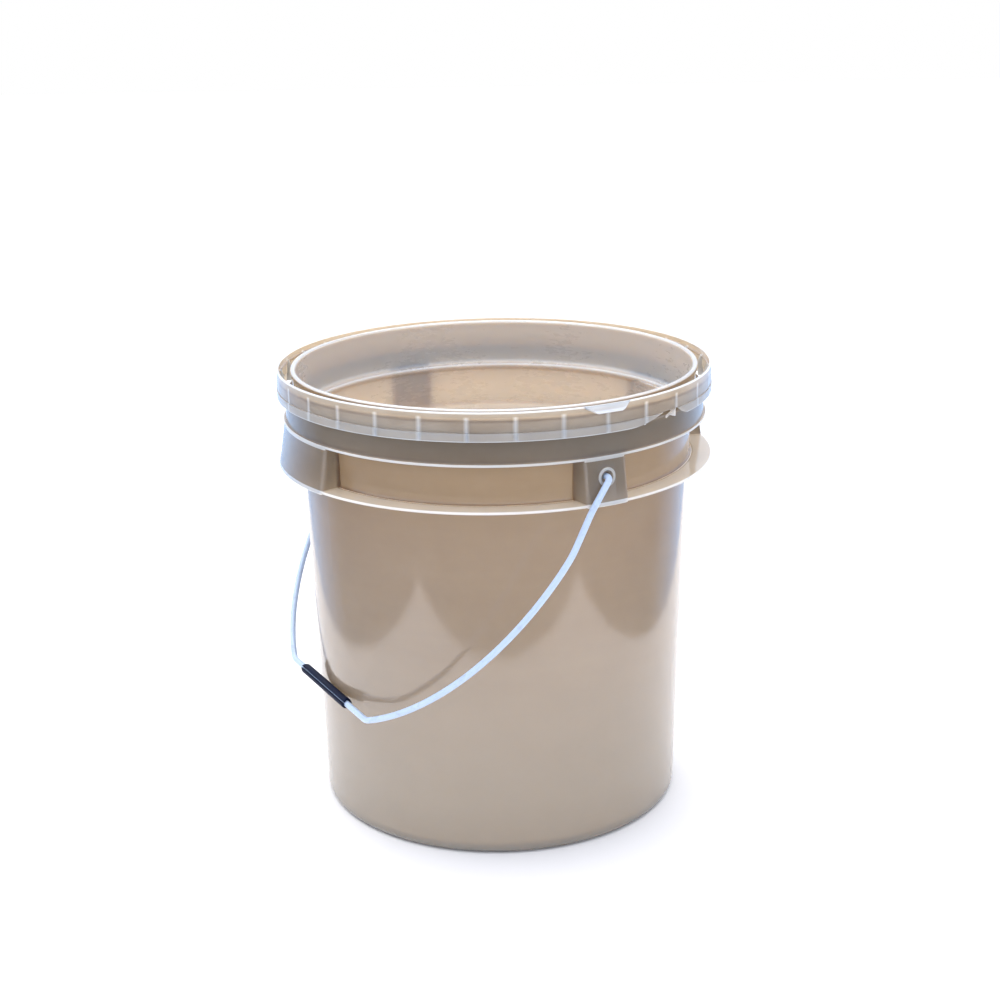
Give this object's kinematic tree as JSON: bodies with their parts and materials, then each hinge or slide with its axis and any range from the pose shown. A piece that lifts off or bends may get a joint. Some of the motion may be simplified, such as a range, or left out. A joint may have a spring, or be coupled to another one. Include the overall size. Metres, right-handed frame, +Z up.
{
  "type": "fermenting bucket",
  "caption": "Tapered plastic pail with a flanged neck, a tear-off collar with a pull tab, hollow bail ears and lifting lugs, and a coated wire bail with a grip sleeve.",
  "frame": {"origin": "on the bucket's axis, at the plane its foot ring stands on", "axes": "+Z up the axis to the rim; +X through the bail ear below the pull tab, along the bail's hinge line; the bail hangs on the -Y side at rest"},
  "size_m": [0.362, 0.3332, 0.3455],
  "materials": {
    "moulding": "tan translucent polypropylene, glossy outside, slightly cloudy",
    "collar": "the same polypropylene in a thin wall, so paler",
    "zinc_wire": "zinc-plated steel wire",
    "coating": "pale bluish-white plastic sheath, satin",
    "grip": "near-black extruded sleeve with a slit, satin"
  },
  "bodies": {
    "bucket": {"bucket_floor": "moulding", "foot_ring": "moulding", "bucket_wall": "moulding", "recess_wall": "moulding", "neck_rim": "moulding", "neck_skirt": "moulding", "lower_flange": "moulding", "bail_ear_right": "moulding", "bail_ear_left": "moulding", "lifting_lug_rear": "moulding", "lifting_lug_front": "moulding", "tear_collar": "collar", "tear_strip": "collar", "pull_tab": "collar"},
    "bail": {"bail_wire": "zinc_wire", "bail_coating": "coating"},
    "grip": {"grip_sleeve": "grip"}
  },
  "joints": [
    {"name": "bail_swing", "type": "hinge", "parent": "bucket", "child": "bail", "pos_m": [0, 0, 0.293], "axis": [-1, 0, 0], "range_deg": [0, 283.4]},
    {"name": "grip_spin", "type": "hinge", "parent": "bail", "child": "grip", "pos_m": [-0.006, -0.14782, 0.10583], "axis": [1, 0, 0], "continuous": true}
  ]
}
